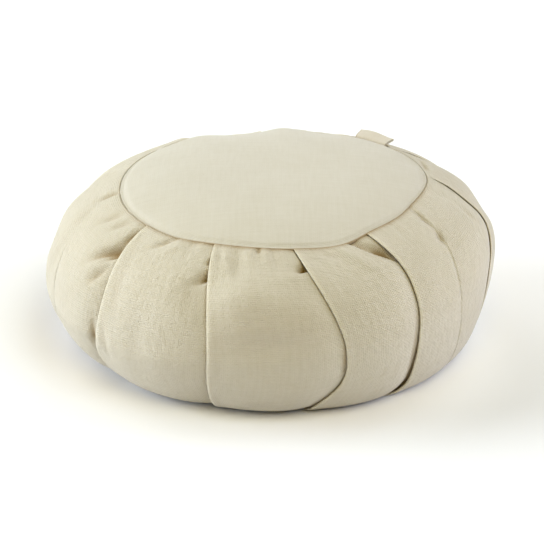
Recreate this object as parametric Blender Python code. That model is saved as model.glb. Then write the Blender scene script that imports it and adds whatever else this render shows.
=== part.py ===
"""Zafu meditation cushion: a stuffed band laid in knife pleats between two round panels.

Metres, +Z up. The origin is the middle of the underside, on the floor, and the front faces -Y.
Azimuth 0 is the front and 90 the right side. Level 90 is the top seam, 0 the widest girth and
-90 the ring that meets the floor, with the bottom seam inside it at level -100.
"""

import math
from collections import namedtuple

import bmesh
import bpy
from mathutils import Vector

# Body, in metres. One rounded curve runs from the crown over the seam to the girth.
GIRTH_RADIUS = 0.1632
GIRTH_HEIGHT = 0.0596
CROWN_HEIGHT = 0.1289
FLOOR_RING_RADIUS = 0.1305
BOTTOM_SEAM_RADIUS = 0.1120
CROWN_FLATNESS = 2.99
SHOULDER_FULLNESS = 2.09
FLANK_FULLNESS = 1.66
FLOOR_LIFT = 0.0004

# How the stuffing leans: the girth rides high on the right, low in front and bulges on a slant
GIRTH_RISE_RIGHT = 0.0155
GIRTH_DROP_FRONT = 0.0047
GIRTH_SHIFT = -0.0031
GIRTH_SLANT = 0.0033
CROWN_DROP_FRONT = 0.0022
FOOT_SHIFT = 0.0069

# Cloth
PANEL_THICKNESS = 0.0020
GAP = 0.0003
SEAM_DEPTH = 0.0023
SEAM_LIP = 0.0007
SEAM_PINCH = 0.0012
SEAM_PINCH_REACH = 0.0060
NOSE_RADIUS = 0.0009
NOSE_REACH = 0.0045
DIVE_REACH = 0.0080
UNDERLAP = 0.0095
SLIT = 0.0006
LIP_GROWTH = 0.0005
BULGE = 0.0026

# Label
LABEL_AZIMUTH = 140.5
LABEL_WIDTH = 0.0285
LABEL_HEIGHT = 0.0098
LABEL_THICKNESS = 0.0016
LABEL_SINK = 0.0014
LABEL_LEAN = 24.0
LABEL_ROOM_REACH = 0.0210

# Top seam radius by azimuth, in degrees and millimetres
SeamRow = namedtuple("SeamRow", "azimuth radius")
SEAM = (
    SeamRow(-150, 116.5),
    SeamRow(-121, 115.8),
    SeamRow(-95, 113.2),
    SeamRow(-74, 112.2),
    SeamRow(-54, 111.0),
    SeamRow(-38, 111.4),
    SeamRow(-22, 110.2),
    SeamRow(-6, 111.2),
    SeamRow(8, 113.4),
    SeamRow(24, 115.4),
    SeamRow(38, 110.8),
    SeamRow(55, 108.7),
    SeamRow(66, 107.4),
    SeamRow(78, 109.2),
    SeamRow(95, 113.7),
    SeamRow(125, 117.5),
    SeamRow(155, 118.0),
    SeamRow(180, 117.0),
)

# Azimuth of each fold's edge at seven levels from the top seam down, and how far the cloth on its
# left sinks beside it (dive) and the fold stands off it (mouth), in millimetres, at top and bottom
Pleat = namedtuple("Pleat", "name top l60 l30 l0 m30 m60 foot dive mouth_top mouth_foot bead")
LEVELS = (90.0, 60.0, 30.0, 0.0, -30.0, -60.0, -90.0)
PLEATS = (
    Pleat("left", -85.5, -78.8, -76.0, -74.3, -73.0, -73.0, -74.0, 0.4, 0.4, 0.5, 0.3),
    Pleat("front_left", -53.5, -51.3, -49.6, -50.2, -51.5, -50.5, -49.0, 0.6, 0.6, 1.3, 0.8),
    Pleat("front_middle", -21.8, -18.3, -16.9, -16.3, -17.2, -18.5, -19.0, 0.5, 0.5, 0.6, 0.8),
    Pleat("front_right", 7.0, 11.8, 15.4, 17.5, 17.0, 10.2, 5.5, 0.6, 0.8, 0.9, 0.6),
    Pleat("right_front", 35.5, 37.9, 38.0, 37.8, 37.9, 37.2, 31.0, 1.0, 1.0, 2.4, 0.8),
    Pleat("right", 63.5, 57.2, 53.4, 53.0, 55.8, 58.0, 60.0, 0.5, 0.4, 0.6, 0.3),
    Pleat("right_back", 97.0, 87.0, 83.5, 77.5, 75.5, 76.0, 78.0, 1.2, 0.9, 1.3, 0.8),
    Pleat("back_right", 128.0, 120.0, 115.0, 110.0, 109.0, 111.0, 114.0, 0.8, 0.6, 1.0, 0.6),
    Pleat("back_middle", 156.0, 151.0, 148.0, 145.0, 144.0, 146.0, 149.0, 0.7, 0.6, 0.8, 0.6),
    Pleat("back", 185.0, 183.0, 181.0, 179.5, 179.0, 180.0, 182.0, 1.0, 0.8, 1.2, 0.7),
    Pleat("back_left", 214.0, 214.5, 213.5, 214.0, 214.5, 213.5, 212.0, 0.7, 0.6, 0.8, 0.6),
    Pleat("left_back", 245.0, 247.0, 249.0, 250.0, 251.0, 249.5, 247.0, 0.8, 0.7, 1.0, 0.6),
)

# Hollows beside the folds: the panel each lies in (named by the fold on its left), where, which way
# its long axis leans, its half length, half width and depth in millimetres, and how hard its lower
# edge is, from 0 to 1. A negative depth is a ridge.
Hollow = namedtuple("Hollow", "panel azimuth level lean along across depth edge")
HOLLOWS = (
    Hollow("left", -57.2, 61.0, 52.0, 11.0, 6.0, 4.4, 0.3),
    Hollow("left", -55.5, 44.0, 68.0, 11.0, 5.5, 2.4, 0.2),
    Hollow("left", -54.6, 79.0, 80.0, 9.0, 3.0, 1.4, 0.0),
    Hollow("left", -53.4, -1.0, 88.0, 14.0, 3.5, 1.8, 0.0),
    Hollow("left", -70.8, 74.0, -54.0, 13.0, 4.5, 1.0, 0.0),
    Hollow("left_back", -87.3, 80.0, 50.0, 7.0, 3.0, 1.8, 0.3),
    Hollow("left_back", -80.0, 30.0, 70.0, 18.0, 5.0, 1.2, 0.0),
    Hollow("front_left", -21.6, 75.0, 85.0, 5.5, 3.6, 2.2, 0.2),
    Hollow("front_left", -20.6, 63.0, 48.0, 7.0, 5.0, 3.6, 0.4),
    Hollow("front_left", -38.6, 82.5, 40.0, 9.0, 2.8, 1.8, 0.6),
    Hollow("front_left", -46.6, 0.0, -80.0, 16.0, 3.2, 1.0, 0.0),
    Hollow("front_middle", -4.5, 87.0, -75.0, 4.0, 1.8, 2.6, 0.0),
    Hollow("front_middle", -8.5, 71.0, -17.0, 12.0, 4.0, 0.8, 0.2),
    Hollow("front_middle", 9.3, 73.5, 24.0, 8.0, 6.5, 4.8, 0.8),
    Hollow("front_right", 32.8, 72.0, -44.0, 16.0, 8.5, 6.5, 0.8),
    Hollow("front_right", 18.6, 82.0, -21.0, 9.0, 3.0, 0.8, 0.0),
    Hollow("right_front", 51.8, 67.0, 85.0, 9.0, 4.0, 1.2, 0.0),
    Hollow("right", 58.6, 61.5, 74.0, 10.0, 4.5, 2.6, 0.1),
    Hollow("right_back", 110.0, 84.0, -8.0, 11.0, 3.0, 2.2, 0.4),
    Hollow("back_right", 151.5, 66.0, 45.0, 11.0, 5.5, 3.2, 0.3),
    Hollow("back_middle", 180.5, 62.0, 50.0, 12.0, 6.0, 3.4, 0.3),
    Hollow("back", 211.0, 68.0, 42.0, 10.0, 5.5, 3.0, 0.4),
    Hollow("back_left", 242.5, 63.0, 50.0, 12.0, 5.5, 3.2, 0.3),
)

# Where the body is cut into rows, and each pleat's section into points
ROW_LEVELS = (90, 83, 75, 66, 57, 47, 36, 24, 12, 0, -13, -26, -39, -51, -62, -72, -82, -90)
NOSE_ANGLES = (250.0, 205.0, 155.0, 105.0)
PANEL_SHARES = (0.04, 0.12, 0.24, 0.38, 0.53, 0.68, 0.81, 0.91, 0.97)
UNDER_SHARES = (0.0, 0.5, 1.0)
CROWN_SHARES = (0.95, 0.82, 0.55)
PANEL_SEGMENTS = 84


def clear_scene():
    for thing in list(bpy.data.objects):
        bpy.data.objects.remove(thing, do_unlink=True)


def smooth(share):
    share = min(max(share, 0.0), 1.0)
    return share * share * (3.0 - 2.0 * share)


def read_row(places, values, place):
    """Smooth curve through a short row of values, flat past its ends."""
    if (place - places[0]) * (places[-1] - places[0]) <= 0:
        return values[0]
    if (place - places[-1]) * (places[-1] - places[0]) >= 0:
        return values[-1]
    last = len(places) - 1
    i = 0
    while (place - places[i + 1]) * (places[-1] - places[0]) > 0:
        i += 1
    before = max(i - 1, 0)
    after = min(i + 2, last)
    step = places[i + 1] - places[i]
    share = (place - places[i]) / step
    slope_in = (values[i + 1] - values[before]) / (places[i + 1] - places[before]) * step
    slope_out = (values[after] - values[i]) / (places[after] - places[i]) * step
    a = 2 * share**3 - 3 * share**2 + 1
    b = share**3 - 2 * share**2 + share
    c = 3 * share**2 - 2 * share**3
    d = share**3 - share**2
    return a * values[i] + b * slope_in + c * values[i + 1] + d * slope_out


def read_ring(rows, column, azimuth):
    """The same round the cushion, where the last row leads back to the first."""
    turned = (azimuth - rows[0].azimuth) % 360.0 + rows[0].azimuth
    wrapped = [rows[-1], *rows, rows[0], rows[1]]
    places = [row.azimuth for row in wrapped]
    places[0] -= 360.0
    places[-2] += 360.0
    places[-1] += 360.0
    return read_row(places, [getattr(row, column) for row in wrapped], turned)


def seam_radius(azimuth):
    return read_ring(SEAM, "radius", azimuth) / 1000.0


def girth_radius(azimuth):
    turn = math.radians(azimuth)
    return GIRTH_RADIUS + GIRTH_SHIFT * math.sin(turn) + GIRTH_SLANT * math.sin(2.0 * turn)


def girth_height(azimuth):
    turn = math.radians(azimuth)
    return GIRTH_HEIGHT + GIRTH_RISE_RIGHT * math.sin(turn) - GIRTH_DROP_FRONT * math.cos(turn)


def top_height(azimuth, radius):
    """Height of the stuffed top at a radius, drawn down where the seam pinches it."""
    girth = girth_radius(azimuth)
    foot = girth_height(azimuth)
    inside = min(radius / girth, 1.0) ** CROWN_FLATNESS
    height = foot + (CROWN_HEIGHT - foot) * (1.0 - inside) ** (1.0 / SHOULDER_FULLNESS)
    height -= CROWN_DROP_FRONT * radius / GIRTH_RADIUS * math.cos(math.radians(azimuth))
    off_seam = (radius - seam_radius(azimuth)) / SEAM_PINCH_REACH
    return height - SEAM_PINCH * math.exp(-off_seam * off_seam)


def base_point(azimuth, level):
    """A point of the stuffed body before pleats and hollows."""
    turn = math.radians(azimuth)
    girth = girth_radius(azimuth)
    shift = 0.0
    if level >= 0.0:
        edge = seam_radius(azimuth) + SEAM_LIP
        whole = math.acos((edge / girth) ** (0.5 * CROWN_FLATNESS))
        rise = whole * min(level, 90.0) / 90.0
        radius = girth * math.cos(rise) ** (2.0 / CROWN_FLATNESS)
        height = top_height(azimuth, radius)
    elif level >= -90.0:
        fall = math.radians(-level)
        foot = 1.0 - math.cos(fall)
        inward = 1.0 - math.cos(fall) ** (2.0 / FLANK_FULLNESS)
        radius = girth + (FLOOR_RING_RADIUS - girth) * inward
        height = top_height(azimuth, girth) * (1.0 - math.sin(fall) ** (2.0 / FLANK_FULLNESS))
        shift = FOOT_SHIFT * foot
    else:
        inward = (-90.0 - level) / 10.0
        seam = BOTTOM_SEAM_RADIUS + SEAM_LIP
        radius = FLOOR_RING_RADIUS + (seam - FLOOR_RING_RADIUS) * inward
        height = 0.0
        shift = FOOT_SHIFT * (1.0 - inward)
    return Vector((radius * math.sin(turn) + shift, -radius * math.cos(turn), height))


def base_frame(azimuth, level):
    """The base point and the way out of the cloth there."""
    point = base_point(azimuth, level)
    if level <= -90.0:
        return point, Vector((0.0, 0.0, -1.0))
    over = base_point(azimuth + 0.5, level) - base_point(azimuth - 0.5, level)
    up = base_point(azimuth, min(level + 1.5, 90.0)) - base_point(azimuth, max(level - 1.5, -90.0))
    return point, over.cross(up).normalized()


def pleat_azimuth(number, level):
    turns, place = divmod(number, len(PLEATS))
    pleat = PLEATS[place]
    columns = (pleat.top, pleat.l60, pleat.l30, pleat.l0, pleat.m30, pleat.m60, pleat.foot)
    return read_row(LEVELS, columns, level) + 360.0 * turns


def pressed(level):
    """1 over most of the body, less at the seams, where the layers are sewn flat."""
    at_top = smooth((90.0 - level) / 16.0)
    at_foot = smooth((level + 90.0) / 20.0)
    return 0.55 + 0.45 * at_top * at_foot


def slack(level):
    """How far the cloth may swell between its folds: not at the seams, fully at the girth."""
    return smooth((90.0 - level) / 55.0) * smooth((level + 90.0) / 45.0)


def fold_sizes(number, level):
    """Height of a fold's edge, its radius and the opening under it."""
    pleat = PLEATS[number % len(PLEATS)]
    flat = pressed(level)
    down = smooth((70.0 - level) / 120.0)
    mouth = pleat.mouth_top + (pleat.mouth_foot - pleat.mouth_top) * down
    free = (flat - 0.55) / 0.45
    opening = SLIT + (mouth / 1000.0 - SLIT + 0.0002) * free
    return pleat.bead / 1000.0 * free, NOSE_RADIUS * flat, opening


def hollow_depth(panel, azimuth, level, radius):
    """How far the hollows of one panel draw the cloth in at a place."""
    depth = 0.0
    for hollow in HOLLOWS:
        if hollow.panel != panel:
            continue
        across = (azimuth - hollow.azimuth + 180.0) % 360.0 - 180.0
        across = math.radians(across) * radius
        upward = math.radians(level - hollow.level) * 0.052
        lean = math.radians(hollow.lean)
        along = across * math.cos(lean) + upward * math.sin(lean)
        aside = upward * math.cos(lean) - across * math.sin(lean)
        width = hollow.across / 1000.0
        if aside < 0.0:
            width *= 1.0 - 0.85 * hollow.edge
        reach = (along * 1000.0 / hollow.along) ** 2 + (aside / width) ** 2
        depth += hollow.depth / 1000.0 * math.exp(-reach)
    return depth


def panel_height(number, level, azimuth, share, width, radius):
    """Height of the cloth over the base, across one panel from its own fold to the next."""
    pleat = PLEATS[number % len(PLEATS)]
    following = PLEATS[(number + 1) % len(PLEATS)]
    edge, _, _ = fold_sizes(number, level)
    next_edge, next_nose, next_opening = fold_sizes(number + 1, level)
    floor = next_edge - 2.0 * next_nose - next_opening
    free = (pressed(level) - 0.55) / 0.45
    near = share * width
    far = (1.0 - share) * width
    swell = BULGE * slack(level) * min(width / 0.075, 1.1)
    height = swell * (1.0 - abs(2.0 * share - 1.0) ** 2.4)
    height += edge * math.exp(-((near / NOSE_REACH) ** 2))
    height += floor * math.exp(-((far / DIVE_REACH) ** 1.4))
    height -= following.dive / 1000.0 * free * math.exp(-((far / (1.6 * DIVE_REACH)) ** 2)) * share
    return height - hollow_depth(pleat.name, azimuth, level, radius)


def pleat_section(number, level, nose_angles, shares, under_shares):
    """One pleat cut across: (azimuth, height) from the root of its fold to the root of the next."""
    start = pleat_azimuth(number, level)
    end = pleat_azimuth(number + 1, level)
    middle = base_point((start + end) / 2.0, level)
    radius = math.hypot(middle.x, middle.y)
    width = math.radians(end - start) * radius
    edge, nose, _ = fold_sizes(number, level)
    section = []
    for share in (1.0, 0.5):
        place = UNDERLAP * share
        height = edge - 2.0 * nose - LIP_GROWTH * share
        section.append((start + math.degrees(place / radius), height))
    for angle in nose_angles:
        place = nose + nose * math.cos(math.radians(angle))
        height = edge - nose + nose * math.sin(math.radians(angle))
        section.append((start + math.degrees(place / radius), height))
    for share in shares:
        azimuth = start + (end - start) * share
        section.append((azimuth, panel_height(number, level, azimuth, share, width, radius)))
    next_edge, next_nose, next_opening = fold_sizes(number + 1, level)
    for share in under_shares:
        azimuth = end + math.degrees(UNDERLAP * share / radius)
        opening = next_opening + (SLIT - next_opening) * smooth(share)
        height = next_edge - 2.0 * next_nose - LIP_GROWTH * share - opening
        fading = 1.0 - smooth(share)
        dip = hollow_depth(PLEATS[number % len(PLEATS)].name, azimuth, level, radius)
        dip += PLEATS[(number + 1) % len(PLEATS)].dive / 1000.0 * (pressed(level) - 0.55) / 0.45
        section.append((azimuth, height - max(dip, 0.0) * fading))
    return section


def body_row(level, nose_angles, shares, under_shares):
    """All the points of one row of the band, round the cushion."""
    row = []
    for number in range(len(PLEATS)):
        for azimuth, height in pleat_section(number, level, nose_angles, shares, under_shares):
            point, out = base_frame(azimuth, level)
            point = point + out * height
            if level < 0.0:
                point.z = max(point.z, FLOOR_LIFT)
            row.append(point)
    return row


def flat_shares(nose_angles, shares, under_shares):
    """Where a section's points lie across the pleat once its folds are run flat."""
    folded = 2 + len(nose_angles)
    places = [shares[0] * (i + 0.5) / (folded + 1) for i in range(folded)]
    places += shares
    last = len(under_shares) + 1
    rest = 1.0 - shares[-1]
    places += [shares[-1] + rest * (i + 1) / last for i in range(len(under_shares))]
    return places


def seam_row(places, level, radius_of, height_of):
    """A plain ring inside a seam, with as many points as a body row and each fold run flat."""
    row = []
    for number in range(len(PLEATS)):
        start = pleat_azimuth(number, level)
        end = pleat_azimuth(number + 1, level)
        for place in places:
            azimuth = start + (end - start) * place
            turn = math.radians(azimuth)
            radius = radius_of(azimuth)
            point = (radius * math.sin(turn), -radius * math.cos(turn), height_of(azimuth))
            row.append(Vector(point))
    return row


def label_room(azimuth):
    """How far the seam is let out where the label is caught in it."""
    off = (azimuth - LABEL_AZIMUTH + 180.0) % 360.0 - 180.0
    across = abs(math.radians(off)) * seam_radius(azimuth)
    let_out = smooth((LABEL_ROOM_REACH - across) / 0.004)
    return (LABEL_THICKNESS + GAP) * let_out


def wall_radius(azimuth):
    return seam_radius(azimuth) + 0.5 * GAP + label_room(azimuth)


def seam_height(azimuth):
    return top_height(azimuth, seam_radius(azimuth))


def wall_foot(azimuth):
    """Height of the seam's floor, which keeps to the cloth's slope where the seam is let out."""
    seam = seam_radius(azimuth)
    slope = (top_height(azimuth, seam * 0.95) - top_height(azimuth, seam)) / (0.05 * seam)
    return seam_height(azimuth) - SEAM_DEPTH - max(slope, 0.35) * label_room(azimuth)


def crown_height(azimuth, share):
    return top_height(azimuth, seam_radius(azimuth) * share)


def mesh_object(name, bm, colour, roughness):
    mesh = bpy.data.meshes.new(name)
    bmesh.ops.recalc_face_normals(bm, faces=bm.faces)
    bm.to_mesh(mesh)
    bm.free()
    for polygon in mesh.polygons:
        polygon.use_smooth = True
    thing = bpy.data.objects.new(name, mesh)
    bpy.context.scene.collection.objects.link(thing)
    material = bpy.data.materials.new(name + "_cloth")
    material.use_nodes = True
    shader = material.node_tree.nodes["Principled BSDF"]
    shader.inputs["Base Color"].default_value = (*colour, 1.0)
    shader.inputs["Roughness"].default_value = roughness
    shader.inputs["Metallic"].default_value = 0.0
    mesh.materials.append(material)
    return thing


def close_with_rows(bm, rows):
    """Joins closed rings of equal length one after another."""
    rings = [[bm.verts.new(point) for point in row] for row in rows]
    for upper, lower in zip(rings, rings[1:]):
        for i in range(len(upper)):
            j = (i + 1) % len(upper)
            bm.faces.new((upper[i], upper[j], lower[j], lower[i]))
    return rings


def cap(bm, ring, middle):
    hub = bm.verts.new(middle)
    for i in range(len(ring)):
        bm.faces.new((ring[i], ring[(i + 1) % len(ring)], hub))


def build_side_band():
    places = flat_shares(NOSE_ANGLES, PANEL_SHARES, UNDER_SHARES)
    below = PANEL_THICKNESS + GAP
    rows = []
    for share in reversed(CROWN_SHARES):
        rows.append(
            seam_row(
                places,
                90.0,
                lambda azimuth, share=share: seam_radius(azimuth) * share,
                lambda azimuth, share=share: crown_height(azimuth, share) - below,
            )
        )
    rows.append(seam_row(places, 90.0, wall_radius, wall_foot))
    for level in ROW_LEVELS:
        row = body_row(level, NOSE_ANGLES, PANEL_SHARES, UNDER_SHARES)
        if level == 90:
            for point in row:
                room = label_room(math.degrees(math.atan2(point.x, -point.y)))
                point += Vector((point.x, point.y, 0.0)).normalized() * room
        rows.append(row)
    rows.append(body_row(-100.0, NOSE_ANGLES, PANEL_SHARES, UNDER_SHARES))
    rows.append(
        seam_row(
            places,
            -100.0,
            lambda azimuth: BOTTOM_SEAM_RADIUS + 0.5 * GAP,
            lambda azimuth: PANEL_THICKNESS + GAP,
        )
    )
    bm = bmesh.new()
    rings = close_with_rows(bm, rows)
    cap(bm, rings[0], Vector((0.0, 0.0, CROWN_HEIGHT - below)))
    cap(bm, rings[-1], Vector((0.0, 0.0, PANEL_THICKNESS + GAP)))
    return mesh_object("side_band", bm, (0.68, 0.63, 0.50), 0.92)


def panel_ring(share, inset, height_of):
    ring = []
    for i in range(PANEL_SEGMENTS):
        azimuth = 360.0 * i / PANEL_SEGMENTS
        turn = math.radians(azimuth)
        radius = seam_radius(azimuth) * share - inset
        ring.append(Vector((radius * math.sin(turn), -radius * math.cos(turn), height_of(azimuth))))
    return ring


def build_top_panel():
    """Crowned round panel, its edge rolled down into the seam."""
    edge = 0.5 * GAP
    rows = []
    for share in (0.28, 0.55, 0.70, 0.82, 0.91, 0.95):
        rows.append(
            panel_ring(share, 0.0, lambda azimuth, share=share: crown_height(azimuth, share))
        )
    rows.append(panel_ring(1.0, 0.0020, lambda azimuth: seam_height(azimuth) + 0.0006))
    rows.append(panel_ring(1.0, 0.0008, lambda azimuth: seam_height(azimuth)))
    rows.append(panel_ring(1.0, edge, lambda azimuth: seam_height(azimuth) - 0.0008))
    rows.append(panel_ring(1.0, edge, lambda azimuth: seam_height(azimuth) - PANEL_THICKNESS))
    for share in CROWN_SHARES:
        rows.append(
            panel_ring(
                share,
                0.0,
                lambda azimuth, share=share: crown_height(azimuth, share) - PANEL_THICKNESS,
            )
        )
    bm = bmesh.new()
    rings = close_with_rows(bm, rows)
    cap(bm, rings[0], Vector((0.0, 0.0, CROWN_HEIGHT)))
    cap(bm, rings[-1], Vector((0.0, 0.0, CROWN_HEIGHT - PANEL_THICKNESS)))
    return mesh_object("top_panel", bm, (0.74, 0.70, 0.58), 0.92)


def build_bottom_panel():
    """Flat round panel that the cushion stands on."""
    edge = BOTTOM_SEAM_RADIUS - 0.5 * GAP
    rows = []
    for radius, height in (
        (edge - 0.0008, 0.0),
        (edge, 0.0007),
        (edge, PANEL_THICKNESS),
    ):
        ring = []
        for i in range(PANEL_SEGMENTS):
            turn = 2.0 * math.pi * i / PANEL_SEGMENTS
            ring.append(Vector((radius * math.sin(turn), -radius * math.cos(turn), height)))
        rows.append(ring)
    bm = bmesh.new()
    rings = close_with_rows(bm, rows)
    cap(bm, rings[0], Vector((0.0, 0.0, 0.0)))
    cap(bm, rings[-1], Vector((0.0, 0.0, PANEL_THICKNESS)))
    return mesh_object("bottom_panel", bm, (0.70, 0.65, 0.52), 0.92)


def build_label_tab():
    """Short tape folded double, its ends caught in the top seam and its fold standing up."""
    half = 0.5 * LABEL_THICKNESS
    steps = 10
    profile = []
    for share in (0.0, 0.30, 0.62):
        profile.append((half, share))
    for angle in (0.0, 45.0, 90.0, 135.0, 180.0):
        turn = math.radians(angle)
        profile.append((half * math.cos(turn), 0.90 + 0.10 * math.sin(turn)))
    for share in (0.62, 0.30, 0.0):
        profile.append((-half, share))
    lean = math.radians(LABEL_LEAN)
    rows = []
    for step in range(steps + 1):
        across = step / steps - 0.5
        azimuth = LABEL_AZIMUTH + math.degrees(across * LABEL_WIDTH / seam_radius(LABEL_AZIMUTH))
        turn = math.radians(azimuth)
        out = Vector((math.sin(turn), -math.cos(turn), 0.0))
        foot_radius = seam_radius(azimuth) + half + 0.5 * GAP
        foot = out * foot_radius + Vector((0.0, 0.0, seam_height(azimuth) - LABEL_SINK))
        row = []
        for aside, share in profile:
            rise = LABEL_HEIGHT * share
            tip = lean * smooth(share * 1.4) * (1.0 + 0.5 * across)
            away = math.sin(tip) * rise * 0.8 + aside * math.cos(tip)
            up = math.cos(tip * 0.6) * rise - aside * math.sin(tip) * 0.5
            row.append(foot + out * away + Vector((0.0, 0.0, up)))
        rows.append(row)
    bm = bmesh.new()
    rings = close_with_rows(bm, rows)
    bm.faces.new(rings[0])
    bm.faces.new(rings[-1])
    return mesh_object("label_tab", bm, (0.80, 0.76, 0.66), 0.85)


clear_scene()
build_side_band()
build_top_panel()
build_bottom_panel()
build_label_tab()
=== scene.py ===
# %% [markdown]
# # A zafu: the round, pleated meditation cushion
#
# A zafu is a canvas bag stuffed hard with husk or fibre. Its side is one long strip of cloth, folded
# into knife pleats and sewn between two round panels. Everything that makes it look right comes from
# that: the folds turn all one way, they are pressed flat in the two seams, and they stand open a
# little where the stuffing swells between the seams.
#
# The plain solid of the same cushion is loaded first. It fixes the size and stays as it is. The
# finished pieces are made at the same place, one for each solid.

# %% Load the plain solids
import math
from collections import namedtuple

import bmesh
import bpy
import numpy as np
from mathutils import Matrix, Vector


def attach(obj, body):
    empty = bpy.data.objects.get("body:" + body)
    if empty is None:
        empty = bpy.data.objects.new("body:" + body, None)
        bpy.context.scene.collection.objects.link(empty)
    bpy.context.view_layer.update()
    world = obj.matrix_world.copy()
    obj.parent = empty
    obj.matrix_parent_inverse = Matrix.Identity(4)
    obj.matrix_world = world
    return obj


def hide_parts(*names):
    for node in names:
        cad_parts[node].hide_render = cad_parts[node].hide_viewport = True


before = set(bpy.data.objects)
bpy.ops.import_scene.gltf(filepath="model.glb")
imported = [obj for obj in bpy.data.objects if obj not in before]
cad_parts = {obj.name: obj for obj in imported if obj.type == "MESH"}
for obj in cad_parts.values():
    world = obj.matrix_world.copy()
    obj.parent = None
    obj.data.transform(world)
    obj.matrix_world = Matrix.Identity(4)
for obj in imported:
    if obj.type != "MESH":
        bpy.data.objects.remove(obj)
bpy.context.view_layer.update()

print("nodes:", sorted(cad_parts))

# %% [markdown]
# ## The camera
#
# The cushion is seen from 1.6 metres off, looking down at 24 degrees through a long lens. A long lens
# keeps the round top from looking stretched. The camera is set by what it looks at, how high it
# stands and how far off, which is easier to read than a place and three angles.

# %% Camera
LOOK_AT = Vector((-0.0011, 0.0, 0.0466))
CAMERA_ELEVATION = math.radians(24.01)
CAMERA_DISTANCE = 1.6
LENS_MM = 141.68
SENSOR_MM = 36.0
NEAREST_SEEN = 0.05


def place_camera():
    data = bpy.data.cameras.new("camera")
    data.lens = LENS_MM
    data.sensor_width = SENSOR_MM
    data.clip_start = NEAREST_SEEN
    camera = bpy.data.objects.new("camera", data)
    back = Vector((0.0, -math.cos(CAMERA_ELEVATION), math.sin(CAMERA_ELEVATION)))
    camera.location = LOOK_AT + back * CAMERA_DISTANCE
    camera.rotation_euler = (math.radians(90.0) - CAMERA_ELEVATION, 0.0, 0.0)
    bpy.context.scene.collection.objects.link(camera)
    bpy.context.scene.camera = camera
    return camera


camera = place_camera()
print("camera at", [round(value, 3) for value in camera.location])

# %% [markdown]
# ## Curves to draw with
#
# Three small helpers draw nearly every soft form in this lesson: a step that eases from 0 to 1, a bell
# that swells and dies away, and a smooth curve through a few values. A fourth measures round the
# cushion. All of them take whole arrays, so that a hundred thousand points take a moment.

# %% Curve helpers
def ease(share):
    """Smooth step from 0 to 1."""
    share = np.clip(share, 0.0, 1.0)
    return share * share * (3.0 - 2.0 * share)


def bell(reach):
    """A soft bell: 1 in the middle, about a third at a reach of 1, next to nothing at 2."""
    return np.exp(-(reach**2))


def curve_through(places, values, at):
    """A smooth curve through a short row of values, read at an array of places."""
    places = np.asarray(places, float)
    values = np.asarray(values, float)
    last = len(places) - 1
    ahead = np.minimum(np.arange(last + 1) + 1, last)
    behind = np.maximum(np.arange(last + 1) - 1, 0)
    slopes = (values[ahead] - values[behind]) / (places[ahead] - places[behind])
    at = np.clip(at, places[0], places[-1])
    i = np.clip(np.searchsorted(places, at, side="right") - 1, 0, last - 1)
    step = places[i + 1] - places[i]
    t = (at - places[i]) / step
    start = (2.0 * t**3 - 3.0 * t**2 + 1.0) * values[i]
    start += (t**3 - 2.0 * t**2 + t) * step * slopes[i]
    end = (3.0 * t**2 - 2.0 * t**3) * values[i + 1]
    end += (t**3 - t**2) * step * slopes[i + 1]
    return start + end


def short_way_round(azimuth, middle):
    """Degrees from the middle to an azimuth, the short way round."""
    return (azimuth - middle + 180.0) % 360.0 - 180.0


print("half way through a step:", float(ease(0.5)))

# %% [markdown]
# ## The line of the top seam
#
# Places on the cushion are named by azimuth, in degrees round from the front with 90 on the right.
# The seam between band and top panel isn't a true circle, because the pleats pull on it unevenly. A
# short table gives its radius by azimuth, and how much painted shade its line gets there, for the shade
# in its groove. The curve through the rows closes on itself.

# %% Top seam: degrees, millimetres, share of the painted shade along its line
SeamRow = namedtuple("SeamRow", "azimuth radius deep")
SEAM = [SeamRow(*row) for row in (
    (-150, 116.5, 0.05),
    (-121, 115.8, 0.05),
    (-95, 113.2, 0.12),
    (-74, 112.2, 0.25),
    (-54, 111, 0.6),
    (-38, 111.4, 0.75),
    (-22, 110.2, 0.9),
    (-6, 111.2, 0.95),
    (8, 113.4, 0.9),
    (24, 115.4, 0.9),
    (38, 110.8, 0.95),
    (55, 108.7, 0.8),
    (66, 107.4, 0.8),
    (78, 109.2, 0.7),
    (95, 113.7, 0.12),
    (125, 117.5, 0.1),
    (155, 118, 0.3),
    (180, 117, 0.4),
)]


def round_the_seam(values, azimuth):
    """A smooth curve through one value for each seam row, the last row leading back to the first."""
    places = [row.azimuth for row in SEAM]
    places = [places[-1] - 360.0, *places, places[0] + 360.0, places[1] + 360.0]
    values = [values[-1], *values, values[0], values[1]]
    turned = (np.asarray(azimuth, float) - SEAM[0].azimuth) % 360.0 + SEAM[0].azimuth
    return curve_through(places, values, turned)


def seam_radius(azimuth):
    return round_the_seam([row.radius / 1000.0 for row in SEAM], azimuth)


# Painted shade along the seam's line, for the shade in its groove.
def seam_shade(azimuth):
    return round_the_seam([row.deep for row in SEAM], azimuth)


print("top seam:", round(2000.0 * float(seam_radius(0.0))), "mm across at the front")

# %% [markdown]
# ## The stuffed body, before any folds
#
# A full cushion has no flat sides: from the middle of the top to its widest girth it is one rounded
# curve, and under the girth it tucks in to the ring that meets the floor. A superellipse gives such a
# curve from two sizes and one number for how square the shoulder is. Real stuffing is never even, so
# the girth rides a little higher on the right and the whole body leans a few millimetres. Husk also
# slides away under the cloth and leaves low places and low bumps, each a soft round dip in a table.

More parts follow.
